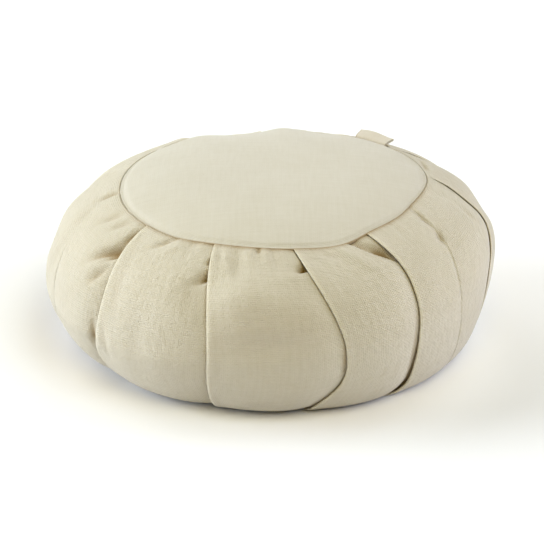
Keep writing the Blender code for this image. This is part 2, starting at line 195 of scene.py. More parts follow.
# %% Sizes of the body, in metres
GIRTH_RADIUS = 0.1632
GIRTH_HEIGHT = 0.0596
CROWN_HEIGHT = 0.1289
FLOOR_RING_RADIUS = 0.1305
BOTTOM_SEAM_RADIUS = 0.1120
CROWN_FLATNESS = 2.99
SHOULDER_FULLNESS = 2.09
FLANK_FULLNESS = 1.66
FLOOR_LIFT = 0.0004
GIRTH_RISE_RIGHT = 0.0155
GIRTH_DROP_FRONT = 0.0047
GIRTH_SHIFT = -0.0031
GIRTH_SLANT = 0.0033
CROWN_DROP_FRONT = 0.0022
FOOT_SHIFT = 0.0069
SEAM_LIP = 0.0003
SEAM_DEPTH = 0.0023
SEAM_GAP = 0.0003
SEAM_PINCH = 0.0005
SEAM_PINCH_REACH = 0.0045
print("crown:", 1000.0 * CROWN_HEIGHT, "mm high")

# %% Slumps: degrees, metres, degrees, and twice millimetres; a negative depth is a bump
Slump = namedtuple("Slump", "azimuth radius around across depth")
SLUMPS = [Slump(*row) for row in (
    (194, 0.118, 17, 30, 4),
    (210, 0.12, 10, 24, -2.2),
    (177, 0.112, 6.5, 20, -2),
    (160, 0.114, 8, 22, 1.8),
    (-48, 0.118, 20, 22, 0.8),
    (22, 0.106, 9, 9, 1),
    (62, 0.104, 16, 12, 0.9),
    (110, 0.108, 7, 6, 1.6),
)]


def slump_depth(azimuth, radius):
    """How far the top has slumped at a point."""
    depth = np.zeros(np.broadcast(azimuth, radius).shape)
    for slump in SLUMPS:
        around = short_way_round(azimuth, slump.azimuth) / slump.around
        across = (radius - slump.radius) * 1000.0 / slump.across
        depth = depth + slump.depth / 1000.0 * np.exp(-(around**2) - across**2)
    return depth


def girth_radius(azimuth):
    turn = np.radians(azimuth)
    return GIRTH_RADIUS + GIRTH_SHIFT * np.sin(turn) + GIRTH_SLANT * np.sin(2.0 * turn)


def girth_height(azimuth):
    turn = np.radians(azimuth)
    return GIRTH_HEIGHT + GIRTH_RISE_RIGHT * np.sin(turn) - GIRTH_DROP_FRONT * np.cos(turn)


def top_height(azimuth, radius):
    """Height of the stuffed top at a radius, drawn down where the seam pinches it."""
    foot = girth_height(azimuth)
    inside = np.minimum(radius / girth_radius(azimuth), 1.0) ** CROWN_FLATNESS
    height = foot + (CROWN_HEIGHT - foot) * (1.0 - inside) ** (1.0 / SHOULDER_FULLNESS)
    height = height - CROWN_DROP_FRONT * radius / GIRTH_RADIUS * np.cos(np.radians(azimuth))
    height = height - slump_depth(azimuth, radius)
    return height - SEAM_PINCH * bell((radius - seam_radius(azimuth)) / SEAM_PINCH_REACH)


print("girth:", round(2000.0 * float(girth_radius(0.0))), "mm across")

# %% [markdown]
# ## Points of the body
#
# How far down the body a place lies is its level: 90 at the top seam, 0 at the girth and -90 at the
# ring on the floor. With azimuth and level every point has a name, and the folds can be set out from
# it later along the body's own way out.

# %% Points of the body, and the way out of it
LOWEST_LEVEL = 89.999
LOOK_ROUND = 0.5
LOOK_UP = 1.5


def ring_points(azimuth, radius, height, shift=0.0):
    turn = np.radians(azimuth)
    x = radius * np.sin(turn) + shift
    y = -radius * np.cos(turn)
    return np.stack(np.broadcast_arrays(x, y, height), axis=-1)


def body_points(azimuth, level):
    """Points of the stuffed body, without folds or hollows."""
    azimuth, level = np.broadcast_arrays(np.asarray(azimuth, float), np.asarray(level, float))
    girth = girth_radius(azimuth)
    seam = seam_radius(azimuth) + SEAM_LIP
    whole = np.arccos((seam / girth) ** (0.5 * CROWN_FLATNESS))
    rise = whole * np.clip(level, 0.0, 90.0) / 90.0
    over_radius = girth * np.cos(rise) ** (2.0 / CROWN_FLATNESS)
    fall = np.radians(np.clip(-level, 0.0, LOWEST_LEVEL))
    inward = 1.0 - np.cos(fall) ** (2.0 / FLANK_FULLNESS)
    under_radius = girth + (FLOOR_RING_RADIUS - girth) * inward
    under_height = top_height(azimuth, girth) * (1.0 - np.sin(fall) ** (2.0 / FLANK_FULLNESS))
    radius = np.where(level >= 0.0, over_radius, under_radius)
    height = np.where(level >= 0.0, top_height(azimuth, over_radius), under_height)
    shift = FOOT_SHIFT * (1.0 - np.cos(fall))
    return ring_points(azimuth, radius, height, shift)


def outward(azimuth, level):
    """The way out of the cloth, from the lie of the body around each point."""
    over = body_points(azimuth + LOOK_ROUND, level) - body_points(azimuth - LOOK_ROUND, level)
    above = np.minimum(level + LOOK_UP, 90.0)
    below = np.maximum(level - LOOK_UP, -89.0)
    up = body_points(azimuth, above) - body_points(azimuth, below)
    out = np.cross(over, up)
    return out / np.linalg.norm(out, axis=-1, keepdims=True)


print("front of the girth:", body_points(0.0, 0.0).round(3))

# %% [markdown]
# ## The pleats
#
# Each knife pleat is a fold of the strip laid over its left-hand neighbour. Seen from outside, all
# that shows is its edge, a soft line that wanders a little from seam to seam. So a pleat is written
# down as the azimuth of that edge at seven levels, and then six small sizes. Five are in millimetres:
# how far the cloth on its left dives beside it, how far its slit stands open at the top and at the
# foot, how proud its edge is, and the radius of that edge. The last is over how many levels under the
# seam it only begins to stand up. A pleat with no radius is pulled out flat. It shows as a faint
# crease at most, and its depth is written as an edge that is less than nothing proud.

# %% Pleats, from the front left round to the right and the back
Pleat = namedtuple("Pleat", "name top l60 l30 l0 m30 m60 foot dive mouth_top mouth_foot bead nose late")
LEVELS = (-90.0, -60.0, -30.0, 0.0, 30.0, 60.0, 90.0)
PLEATS = [Pleat(*row) for row in (
    ("left", -85.5, -78.8, -76, -74.3, -73, -73, -74, 0, 0.4, 0.4, 0, 0, 0),
    ("front_left", -53.5, -51.3, -49.6, -50.2, -51.5, -50.5, -49, 1.4, 0.5, 1, 0.9, 0.85, 0),
    ("front_middle", -21.8, -18.9, -16.9, -16.3, -17.2, -18.5, -19, 0.6, 0.15, 0.25, 1, 0.9, 0),
    ("front_right", 7, 11.8, 15.4, 17.5, 17, 10.2, 5.5, 0.4, 0.12, 0.4, 0.8, 0.75, 0),
    ("right_front", 35.5, 37.9, 38, 37.8, 37.9, 37.2, 31, 0.4, 0.22, 1.6, 0.8, 0.75, 0),
    ("right", 63.5, 57.6, 53.4, 52.6, 54.6, 57, 59, 0, 0.4, 0.4, -0.4, 0, 0),
    ("right_back", 97, 88, 85.4, 74.6, 74, 75.6, 78, 0.4, 0.15, 0.8, 1.3, 0.45, 20),
    ("back_right", 128, 120, 115, 110, 109, 111, 114, 0.2, 0.1, 0.8, 0.3, 0.36, 24),
    ("back_middle", 156, 151, 148, 145, 144, 146, 149, 1.2, 0.6, 0.8, 0.8, 0.85, 0),
    ("back", 185, 183, 181, 179.5, 179, 180, 182, 1.6, 0.8, 1.2, 0.9, 0.85, 0),
    ("back_left", 214, 214.5, 213.5, 214, 214.5, 213.5, 212, 1.3, 0.5, 0.8, 0.8, 0.75, 0),
    ("left_back", 249, 250, 250, 250, 251, 249.5, 247, 1, 0.3, 0.5, 0.2, 0.3, 16),
)]


def pleat_at(number):
    return PLEATS[number % len(PLEATS)]


def pleat_azimuth(number, level):
    """Where a pleat's edge lies; numbers run on past the last pleat and round again."""
    pleat = pleat_at(number)
    edge = (pleat.foot, pleat.m60, pleat.m30, pleat.l0, pleat.l30, pleat.l60, pleat.top)
    return curve_through(LEVELS, edge, level) + 360.0 * (number // len(PLEATS))


print("pleats:", len(PLEATS))

# %% [markdown]
# ## How tight the cloth is
#
# At the seams the layers are sewn down flat, and further off they come loose, swell and stand up.
# Every size of a fold is scaled by how far it is from the seams, so that nothing sticks out there.

# %% Tightness, and the sizes of a fold at a level
SEWN_ABOVE = 16.0
SEWN_BELOW = 20.0
TAUT_ABOVE = 55.0
TAUT_BELOW = 45.0
OPENS_FROM = 20.0
OPENS_OVER = 95.0
PRESSED_SHARE = 0.12
SEAM_NOSE = 0.55
FREE_NOSE = 0.45
SLIT = 0.0005


def loose(level):
    """1 over most of the body, 0 at the seams, where the layers are sewn flat."""
    return ease((90.0 - level) / SEWN_ABOVE) * ease((level + 90.0) / SEWN_BELOW)


def slack(level):
    """How far the cloth may swell between its folds: not at the seams, fully at the girth."""
    return ease((90.0 - level) / TAUT_ABOVE) * ease((level + 90.0) / TAUT_BELOW)


def standing(number, level):
    """1 where a fold stands up, less under the top seam, where a late one still lies pressed flat."""
    late = pleat_at(number).late
    return ease((90.0 - level) / late) if late else np.ones_like(level)


def fold_sizes(number, level):
    """Height of a fold's edge, its radius and the opening under it."""
    pleat = pleat_at(number)
    free = loose(level)
    down = ease((OPENS_FROM - level) / OPENS_OVER)
    mouth = pleat.mouth_top + (pleat.mouth_foot - pleat.mouth_top) * down
    opening = SLIT + (mouth / 1000.0 - SLIT) * free
    bead = max(pleat.bead, 0.0)
    up = PRESSED_SHARE + (1.0 - PRESSED_SHARE) * standing(number, level)
    nose = pleat.nose / 1000.0 * (SEAM_NOSE + FREE_NOSE * free) * up
    return bead / 1000.0 * free * up, nose, opening * up


girth_level = np.zeros(1)
slits = [1000.0 * fold_sizes(number, girth_level)[2].item() for number in range(len(PLEATS))]
print("slits at the girth, in millimetres:", [round(slit, 2) for slit in slits])

# %% [markdown]
# ## Hollows, creases and ridges
#
# Where a pleat runs into the seam, the spare cloth sinks into a pocket beside it. These pockets are
# what the eye knows a zafu by, so each is listed one by one: where it lies, which way its long axis
# leans, how long, wide and deep it is in millimetres, and how hard its lower edge is. A negative
# depth is a ridge, for the lit crest beside a pocket. The last size says how much painted shade the
# pocket gets, and a row with no depth is painted shade alone.

# %% Hollows
Hollow = namedtuple("Hollow", "panel azimuth level lean along across depth edge deep")
HOLLOWS = [Hollow(*row) for row in (
    # beside the front left fold: a long dark wedge, a softer one under it and a thin one at the seam
    ("left", -57.2, 60, 47, 13, 4.6, 3.6, 0.6, 0.7),
    ("left", -53.8, 63.5, 50, 8.5, 4.4, 5.2, 0.55, 1.2),
    ("left", -55.2, 43, 54, 8.5, 4.2, 2.2, 0.4, 0.4),
    ("left", -54.6, 79, 76, 9, 2.8, 2.4, 0, 0.95),
    ("left", -52.3, -3, 88, 12, 2.2, 2, 0, 0.9),
    ("left", -69.6, 81, 62, 9, 3.6, 2, 0.1, 0.25),
    ("left", -62.8, 80, 56, 9, 3.2, 1.7, 0.1, 0.24),
    ("left_back left", -86.8, 84, 86, 7, 3.2, 2.6, 0.3, 0.6),
    ("left_back left", -82.5, 65, 112, 13, 5, 1.3, 0, 0.08),
    ("left_back", -80, 25, 84, 24, 6, 1, 0, 0),
    ("left_back left", -96.5, 26, 90, 10, 17, 3, 0, 0),
    # between the front left and front middle folds
    ("front_left", -20.6, 76.5, 60, 2.6, 2, 2.2, 0.5, 0.6),
    ("front_left", -20, 64.5, 42, 6.2, 3.8, 3.8, 0.4, 0.7),
    ("front_left", -22.6, 59, 42, 10, 5, 0.9, 0.3, 0.1),
    ("front_left", -22.4, 48, 46, 11, 8, 1, 0.1, 0.1),
    ("front_left", -39.4, 84, 44, 9, 2.6, 2.2, 0.65, 0.4),
    ("front_left", -35.6, 80, 46, 8, 3, -0.9, 0, 0),
    ("front_left", -29, 85, -86, 7, 3.2, 0.9, 0, 0.1),
    ("front_left", -46.6, -2, -80, 16, 3.4, 1.2, 0, 0.15),
    ("front_left", -35, 12, 90, 22, 9, 1.2, 0, 0),
    ("front_left", -45, 38, -80, 22, 5, 0.8, 0, 0.14),
    # small gathers along the seam and the pocket beside the front right fold
    ("front_middle", -18, 82, -62, 6, 2.2, 0.8, 0, 0.1),
    ("front_middle", -15.4, 78, -64, 9, 3, -0.8, 0, 0),
    ("front_middle", -11.2, 76, -76, 11, 3.2, 1.2, 0, 0.05),
    ("front_middle", -8.2, 82, -74, 6, 2.2, -0.6, 0, 0),
    ("front_middle", -5.2, 88.2, -80, 2.6, 1.6, 1.8, 0, 0.9),
    ("front_middle", -2.6, 83, -76, 6, 2.2, -0.6, 0, 0),
    ("front_middle", 0.4, 83.5, -77, 8, 2.8, 0.8, 0, 0.05),
    ("front_middle", 8.6, 84, -70, 8, 1.2, 1, 0, 0.6),
    ("front_middle", 9.4, 73, 18, 5.2, 3.8, 5.2, 0.82, 1.4),
    ("front_middle", 5.6, 67, 14, 10, 3.6, -1, 0, 0),
    ("front_middle", -1, -4, 90, 24, 34, 3, 0, 0),
    # A wide patch of painted shade alone, for the shade across the middle of the front panel.
    ("front_middle", 0, 25, 0, 52, 22, 0, 0, 0.15),
    ("front_middle", 17.2, -14, 90, 18, 2.2, 0, 0, 0.5),
    ("front_middle", -9, 50, 90, 13, 19, -3.2, 0, 0),
    ("front_middle", -2, 12, 90, 10, 26, 3, 0, 0),
    # the long tuck that runs down from the seam to the right front fold
    ("front_right", 30.6, 80.5, -50, 15, 4.6, 4.2, 0.9, 0.55),
    ("front_right", 35.4, 72, -52, 9, 4.4, 5.6, 0.86, 1.25),
    ("front_right", 27, 72, -50, 15, 4, -1.6, 0, 0),
    ("front_right", 18.6, 82, -21, 9, 3, 0.9, 0, 0.08),
    ("front_right", 36.8, -25, 90, 34, 2, 0, 0, 0.6),
    # the right side
    ("right_front right", 57.8, 60.5, 48, 6, 3.6, 2.2, 0.4, 0.45),
    ("right_front right", 61.4, 80, 57, 10, 2.6, 1.8, 0.4, 0.45),
    ("right_front", 47, 83, 86, 7, 3.4, 0.8, 0, 0.05),
    ("right", 78.4, 54, 62, 10, 3.4, 1.4, 0.2, 0.15),
    ("right", 82, 80, 70, 7, 4, 0.8, 0, 0.05),
    ("right", 83.9, 26, 44, 11, 2.6, 1.8, 0, 1),
    ("right", 77.2, 8, 50, 13, 9, 2.6, 0, 0),
    ("right", 77.2, 8, 50, 13, 3.4, 0.8, 0, 1.5),
    ("right_back", 110, 84, -8, 11, 3, 2.2, 0.4, 0.3),
    ("right_back", 98, 30, 90, 14, 17, 3.2, 0, 0),
    # the back, which doesn't show in the picture, is gathered in the same way
    ("back_right", 151.5, 66, 45, 11, 5.5, 4.6, 0.4, 0.45),
    ("back_right", 138, 83, 80, 8, 3, 1.2, 0, 0.1),
    ("back_middle", 180.5, 62, 50, 10, 6, 5, 0.4, 0.45),
    ("back_middle", 181.5, 76, 70, 6, 3.5, 2.6, 0.2, 0.3),
    ("back_middle", 166, 82, -80, 9, 3.2, 1.2, 0, 0.1),
    ("back", 211, 68, 42, 9, 5.5, 4.6, 0.5, 0.5),
    ("back", 197, 83, -84, 8, 3, 1.1, 0, 0.1),
    ("back_left", 246.5, 64, 52, 11, 5, 4, 0.3, 0.5),
    ("back_left", 228, 82, 78, 9, 3.4, 1.2, 0, 0.1),
)]
print("hollows:", len(HOLLOWS))

# %% [markdown]
# ## The shape of a hollow
#
# Every hollow is one soft bell laid along its own axis, and narrower on its hard side. Bells add up
# smoothly where two hollows meet, which carving them one by one wouldn't.

# %% Shape of a hollow
SHOULDER_RADIUS = 0.052
METRES_PER_LEVEL = SHOULDER_RADIUS * math.pi / 180.0
HARD_SIDE = 0.85
SHADE_TIGHTNESS = 1.4


def hollows_at(panel, azimuth, level, radius):
    """How far one panel's hollows draw the cloth in at each point, and how much painted shade they lay
    there.
    """
    depth = np.zeros(np.broadcast(azimuth, level).shape)
    deep = np.zeros_like(depth)
    for hollow in HOLLOWS:
        if panel not in hollow.panel.split():
            continue
        across = np.radians(short_way_round(azimuth, hollow.azimuth)) * radius
        upward = (level - hollow.level) * METRES_PER_LEVEL
        lean = math.radians(hollow.lean)
        along = across * math.cos(lean) + upward * math.sin(lean)
        aside = upward * math.cos(lean) - across * math.sin(lean)
        hard_width = hollow.across * (1.0 - HARD_SIDE * hollow.edge)
        width = np.where(aside < 0.0, hard_width, hollow.across) / 1000.0
        reach = (along * 1000.0 / hollow.along) ** 2 + (aside / width) ** 2
        depth = depth + hollow.depth / 1000.0 * np.exp(-reach)
        # Painted shade in the pocket, held tighter than its dip.
        deep = deep + hollow.deep * np.exp(-SHADE_TIGHTNESS * reach)
    return depth, deep


print("one level on the shoulder:", round(1000.0 * METRES_PER_LEVEL, 2), "mm")

# %% [markdown]
# ## Firm folds and flat ones
#
# A pleat with a round, firm edge casts a line. One that the stuffing has pulled out flat keeps only a
# crease, swells with the cloth around it and has no slit. Everything between is told from the edge's
# radius, so that the table needs no column for it.

# %% Firm and flat folds
FIRM_NOSE = 0.0008
FLAT_STEEPNESS = 3.0
FLAT_SWELL = 0.0014
SLIT_SHADE = 0.45
SLIT_DARK_FROM = -10.0
SLIT_DARK_OVER = 40.0


def firm_fold(number):
    """1 for a fold that stands up on its own, 0 for one that is pulled out flat to a mere crease."""
    return min(pleat_at(number).nose / 1000.0 / FIRM_NOSE, 1.0)


def flatness(number):
    """How far a fold is pulled out flat: 1 with no radius, 0 from a third of a firm one up."""
    return float(ease(1.0 - FLAT_STEEPNESS * firm_fold(number)))


def crease_depth(number, level):
    """How far a flat fold's crease lies under the cloth, written as a negative bead."""
    return flatness(number) * max(-pleat_at(number).bead / 1000.0, 0.0) * loose(level)


def flat_swell(number, level):
    """How far a flat fold is pushed out by the stuffing, as it no longer holds the cloth in."""
    return FLAT_SWELL * slack(level) * flatness(number)


def slit_shade(number, level):
    """How much painted shade the slit under a fold gets: most below the girth, where it stands open."""
    low = SLIT_SHADE + (1.0 - SLIT_SHADE) * ease((SLIT_DARK_FROM - level) / SLIT_DARK_OVER)
    return firm_fold(number) ** 2 * standing(number, level) * low


print("flat folds:", [pleat.name for n, pleat in enumerate(PLEATS) if flatness(n) == 1.0])

# %% [markdown]
# ## Across one panel
#
# Between two folds the cloth swells over the stuffing. On its left it comes down from the round edge
# of its own fold, and on its right it dives under the next one. The hollows are then drawn in, except
# on the firm edge itself, which holds its line.

# %% Panel between two folds
PANEL_STEPS = 50
EVEN_SHARE = 0.3
GATHERED_SHARE = 0.7
BULGE = 0.0032
FULL_WIDTH = 0.075
MOST_SWELL = 1.1
SWELL_SQUARENESS = 2.4
NOSE_REACH = 0.0065
DIVE_REACH = 0.0075
DIVE_SQUARENESS = 1.4
SINK_REACH = 0.0160
CREASE_REACH = 0.0012
OPEN_SLIT = 0.0008
SLIT_SHADE_REACH = 0.0006
SLIT_SHADE_SQUARENESS = 1.5
Cut = namedtuple("Cut", "number level start end radius per_metre width")


def cut_across(number, level):
    """One pleat and its panel at a column of levels: where they start and end, and how wide they are."""
    level = level[:, None]
    start = pleat_azimuth(number, level)
    end = pleat_azimuth(number + 1, level)
    middle = body_points((start + end) / 2.0, level)
    radius = np.hypot(middle[..., 0], middle[..., 1])
    per_metre = np.degrees(1.0 / radius)
    return Cut(number, level, start, end, radius, per_metre, (end - start) / per_metre)


def panel_shares():
    """Where a panel's points lie across it, closer together beside its two folds."""
    even = (np.arange(PANEL_STEPS) + 0.5) / PANEL_STEPS
    gathered = 0.5 - 0.5 * np.cos(math.pi * even)
    return EVEN_SHARE * even + GATHERED_SHARE * gathered


def panel_height(cut, azimuth, share):
    """Height of the cloth over the body across one panel, and how much painted shade it gets."""
    number, following, level = cut.number, cut.number + 1, cut.level
    edge, _, _ = fold_sizes(number, level)
    next_edge, next_nose, next_opening = fold_sizes(following, level)
    floor = next_edge - 2.0 * next_nose - next_opening * (1.0 - flatness(following))
    near = share * cut.width
    far = (1.0 - share) * cut.width
    swell = BULGE * slack(level) * np.minimum(cut.width / FULL_WIDTH, MOST_SWELL)
    ends = flat_swell(number, level) * (1.0 - share) + flat_swell(following, level) * share
    height = ends + (swell - ends) * (1.0 - np.abs(2.0 * share - 1.0) ** SWELL_SQUARENESS)
    height = height + edge * bell(near / NOSE_REACH)
    height = height + floor * np.exp(-((far / DIVE_REACH) ** DIVE_SQUARENESS))
    sink = pleat_at(following).dive / 1000.0 * loose(level) * share
    height = height - sink * bell(far / SINK_REACH)
    height = height - crease_depth(number, level) * bell(near / CREASE_REACH)
    height = height - crease_depth(following, level) * bell(far / CREASE_REACH)
    hollow, deep = hollows_at(pleat_at(number).name, azimuth, level, cut.radius)
    off_nose = 1.0 - firm_fold(number) * bell(near / NOSE_REACH)
    # Painted shade on the cloth just beside the next fold's slit.
    beside = np.exp(-((far / (SLIT_SHADE_REACH + next_opening)) ** SLIT_SHADE_SQUARENESS))
    beside = beside * slit_shade(following, level) * np.minimum(next_opening / OPEN_SLIT, 1.0)
    return height - hollow * off_nose, np.maximum(deep, beside)


print("first panel at the girth:", round(1000.0 * cut_across(0, girth_level).width.item()), "mm wide")

# %% [markdown]
# ## One pleat cut across
#
# Cut level by level, a pleat is always the same row of points: out along the hidden layer under its
# edge, round the edge itself, across the panel that shows, and down under the next pleat. Only their
# places change. Keeping the count the same lets every level join to the next, from seam to seam. Each
# part gives the azimuth and height of its points, their painted shade and their painted highlight.

# %% Folded edge of a pleat
RETURN_SHARES = (1.0, 0.75, 0.5, 0.25, 0.08)
NOSE_ANGLES = (262.0, 236.0, 208.0, 180.0, 152.0, 124.0, 100.0)
FOLDED_POINTS = len(RETURN_SHARES) + len(NOSE_ANGLES)
UNDERLAP = 0.0095
LIP_GROWTH = 0.0005
FLAT_STEP = 0.0012
HIDDEN_SHADE = 0.5
HIGHLIGHT_FROM = 0.6


def part_of(cut, *values):
    """The values of one part of the section, each filled out to a row for every level."""
    return np.broadcast_arrays(cut.level, *values)[1:]


def edge_height(cut):
    """Height and radius of the fold's edge. A flat fold follows the hollows that it lies in."""
    edge, nose, _ = fold_sizes(cut.number, cut.level)
    sunk, _ = hollows_at(pleat_at(cut.number).name, cut.start, cut.level, cut.radius)
    edge = edge - (1.0 - firm_fold(cut.number)) * sunk
    return edge - crease_depth(cut.number, cut.level) + flat_swell(cut.number, cut.level), nose


def hidden_layer(cut, edge, nose):
    """The layer that runs back under the fold's edge, from its deep end outwards."""
    flat = flatness(cut.number)
    back = np.array(RETURN_SHARES)[None, :]
    lapped = UNDERLAP * back * (1.0 - flat) + 0.5 * FLAT_STEP * (1.0 - back) * flat
    height = edge - 2.0 * nose - LIP_GROWTH * back * (1.0 - flat)
    # Painted shade on the hidden layer under the fold.
    deep = (HIDDEN_SHADE + (1.0 - HIDDEN_SHADE) * back) * (1.0 - flat)
    return part_of(cut, cut.start + lapped * cut.per_metre, height, deep, 0.0)


def rounded_edge(cut, edge, nose):
    """The fold's edge itself, with painted shade underneath and a painted highlight on the outside."""
    flat = flatness(cut.number)
    angles = np.radians(NOSE_ANGLES)[None, :]
    spread = 0.5 * FLAT_STEP * flat * (1.0 + (NOSE_ANGLES[0] - np.degrees(angles)) / 180.0)
    azimuth = cut.start + (nose * (1.0 + np.cos(angles)) + spread) * cut.per_metre
    # Painted shade under the edge, and a painted highlight on its outside, where it catches the light.
    deep = HIDDEN_SHADE * ease(-np.sin(angles)) * (1.0 - flat)
    painted_highlight = firm_fold(cut.number) * ease(HIGHLIGHT_FROM + np.sin(angles))
    return part_of(cut, azimuth, edge - nose + nose * np.sin(angles), deep, painted_highlight)


print("points in a folded edge:", FOLDED_POINTS)

# %% [markdown]
# ## From the edge to the next fold
#
# The panel that shows comes next, and then the cloth that runs on under the following fold, down in
# its slit. There it gets painted shade, as no light reaches it. The four parts side by side make one
# whole section.

# %% Section of a pleat
UNDER_SHARES = (0.0, 0.12, 0.3, 0.5, 0.75, 1.0)
HIGHLIGHT_REACH = 0.0022
SHADE_WITHIN = 3.0
POINTS_PER_PLEAT = FOLDED_POINTS + PANEL_STEPS + len(UNDER_SHARES)


def open_panel(cut, nose):
    """The panel that shows, from the fold's edge across to the next fold."""
    clear = (2.0 * nose + FLAT_STEP * flatness(cut.number)) / cut.width
    shares = clear + (1.0 - clear) * panel_shares()[None, :]
    azimuth = cut.start + (cut.end - cut.start) * shares
    height, deep = panel_height(cut, azimuth, shares)
    # A painted highlight on the panel just beside the fold's edge.
    painted_highlight = firm_fold(cut.number) * bell(shares * cut.width / HIGHLIGHT_REACH)
    return part_of(cut, azimuth, height, deep, painted_highlight)


def tucked_under(cut):
    """The cloth that runs on under the next fold, past the mouth of its slit."""
    following = cut.number + 1
    next_edge, next_nose, next_opening = fold_sizes(following, cut.level)
    flat = flatness(following)
    under = np.array(UNDER_SHARES)[None, :]
    lapped = UNDERLAP * under * (1.0 - flat) - 0.5 * FLAT_STEP * (1.0 - under) * flat
    azimuth = cut.end + lapped * cut.per_metre
    opening = next_opening + (SLIT - next_opening) * ease(under)
    height = next_edge - 2.0 * next_nose - (LIP_GROWTH * under + opening) * (1.0 - flat)
    height = height - crease_depth(following, cut.level) + flat_swell(following, cut.level)
    dip, _ = hollows_at(pleat_at(cut.number).name, azimuth, cut.level, cut.radius)
    dip = dip + pleat_at(following).dive / 1000.0 * loose(cut.level)
    height = height - np.maximum(dip, 0.0) * (1.0 - ease(under) * (1.0 - flat))
    # Painted shade down in the slit, where no light reaches.
    shown = slit_shade(following, cut.level) * np.minimum(next_opening / OPEN_SLIT, 1.0)
    deep = shown + (1.0 - shown) * ease(under * SHADE_WITHIN) * (1.0 - flat)
    return part_of(cut, azimuth, height, deep, 0.0)


def pleat_section(number, level):
    """(azimuth, height, painted shade, painted highlight) of a pleat's points, one row for each level.
    """
    cut = cut_across(number, level)
    edge, nose = edge_height(cut)
    parts = [hidden_layer(cut, edge, nose), rounded_edge(cut, edge, nose)]
    parts += [open_panel(cut, nose), tucked_under(cut)]
    return [np.hstack(columns) for columns in zip(*parts)]


print("points in one pleat:", POINTS_PER_PLEAT)

# %% [markdown]
# ## The seams at the two ends
#
# Inside the seams the folds run out flat, because there the band is only a hidden turning of cloth.
# Beside the label the top seam is let out a little to give the tape room.

# %% Seam turnings
LABEL_AZIMUTH = 140.5
LABEL_WIDTH = 0.0285
LABEL_THICKNESS = 0.0016
LABEL_ROOM_REACH = 0.0210
LABEL_ROOM_FADE = 0.004
FLAT_START = 0.04
FLAT_END = 0.97


def label_room(azimuth):
    """How far the seam is let out where the label is caught in it."""
    across = np.abs(np.radians(short_way_round(azimuth, LABEL_AZIMUTH))) * seam_radius(azimuth)
    return (LABEL_THICKNESS + SEAM_GAP) * ease((LABEL_ROOM_REACH - across) / LABEL_ROOM_FADE)


def flat_places(level):
    """Azimuths of a whole ring of points once its folds are run flat."""
    tucked = len(UNDER_SHARES)
    head = FLAT_START * (np.arange(FOLDED_POINTS) + 0.5) / (FOLDED_POINTS + 1.0)
    body = FLAT_START + (FLAT_END - FLAT_START) * panel_shares()
    tail = FLAT_END + (1.0 - FLAT_END) * (np.arange(tucked) + 1.0) / (tucked + 1.0)
    share = np.concatenate([head, body, tail])
    ring = []
    for number in range(len(PLEATS)):
        start = float(pleat_azimuth(number, level))
        end = float(pleat_azimuth(number + 1, level))
        ring.append(start + (end - start) * share)
    return np.concatenate(ring)


print("seam let out at the label:", round(1000.0 * float(label_room(LABEL_AZIMUTH)), 2), "mm")

# %% [markdown]
# ## Rows inside the seams
#
# The band starts well inside the top panel, comes out under it and drops into a narrow groove, where
# the stitches would be. At the foot it turns in over the floor and up inside the bottom seam. Both
# ends are hidden, but they give the seams a real depth.

# %% Rows inside the seams
PANEL_THICKNESS = 0.0020
SLOPE_STEP = 0.05
LEAST_SLOPE = 0.35
CROWN_SHARES = (0.50, 0.82, 0.95)
FLOOR_SHARES = (0.25, 0.5, 0.75, 1.0)


def seam_floor(azimuth):
    """Height of the bottom of the seam groove, on the cloth's slope where the seam is let out."""
    seam = seam_radius(azimuth)
    inside = top_height(azimuth, seam * (1.0 - SLOPE_STEP))
    slope = (inside - top_height(azimuth, seam)) / (SLOPE_STEP * seam)
    sunk = SEAM_DEPTH + np.maximum(slope, LEAST_SLOPE) * label_room(azimuth)
    return top_height(azimuth, seam) - sunk


def turning_rows(places):
    """The band's hidden turning under the top panel, out to the bottom of the seam groove."""
    seam = seam_radius(places)
    below = PANEL_THICKNESS + SEAM_GAP
    rows = [
        ring_points(places, seam * share, top_height(places, seam * share) - below)
        for share in CROWN_SHARES
    ]
    rows.append(ring_points(places, seam + 0.5 * SEAM_GAP + label_room(places), seam_floor(places)))
    return rows


def foot_rows(azimuth, height):
    """From the floor ring in to the bottom seam, and up inside it."""
    foot = np.maximum(-height, FLOOR_LIFT)
    seam_edge = BOTTOM_SEAM_RADIUS + SEAM_LIP
    rows = []
    for share in FLOOR_SHARES:
        radius = FLOOR_RING_RADIUS + (seam_edge - FLOOR_RING_RADIUS) * share
        rows.append(ring_points(azimuth, radius, foot, FOOT_SHIFT * (1.0 - share)))
    inner = BOTTOM_SEAM_RADIUS + 0.5 * SEAM_GAP
    rows.append(ring_points(flat_places(-90.0), inner, PANEL_THICKNESS + SEAM_GAP))
    return rows


print("rows inside the seams:", len(CROWN_SHARES) + 1, "and", len(FLOOR_SHARES) + 1)

# %% [markdown]
# ## Rows of the band
#
# The rows run from inside the top seam, over its rounded lip, down the body and in under the floor
# ring to the bottom seam. They lie closer together over the shoulder, where the pockets are. Beside
# the points the rows carry two tones: painted shade in slits, pockets and the seam's line, and a
# painted highlight along the edges of the folds.

# %% Band rows
BODY_ROWS = 108
FINE_ROWS = 46
FINE_ABOVE = 44.0
ROOM_FROM = 80.0
ROOM_OVER = 10.0
LIP_STEPS = ((0.00015, 0.00030), (0.00009, 0.00010), (0.00004, 0.00002))
SEAM_LINE_LEVELS = 1.4
SEAM_SHADE_SHARE = 0.3
SEAM_SHADE_LEVELS = 3.0


def pull_radially(points, distance):
    """Moves points straight out from the middle, or in where the distance is negative."""
    flat = points * np.array((1.0, 1.0, 0.0))
    return points + flat / np.linalg.norm(flat, axis=-1, keepdims=True) * distance[..., None]


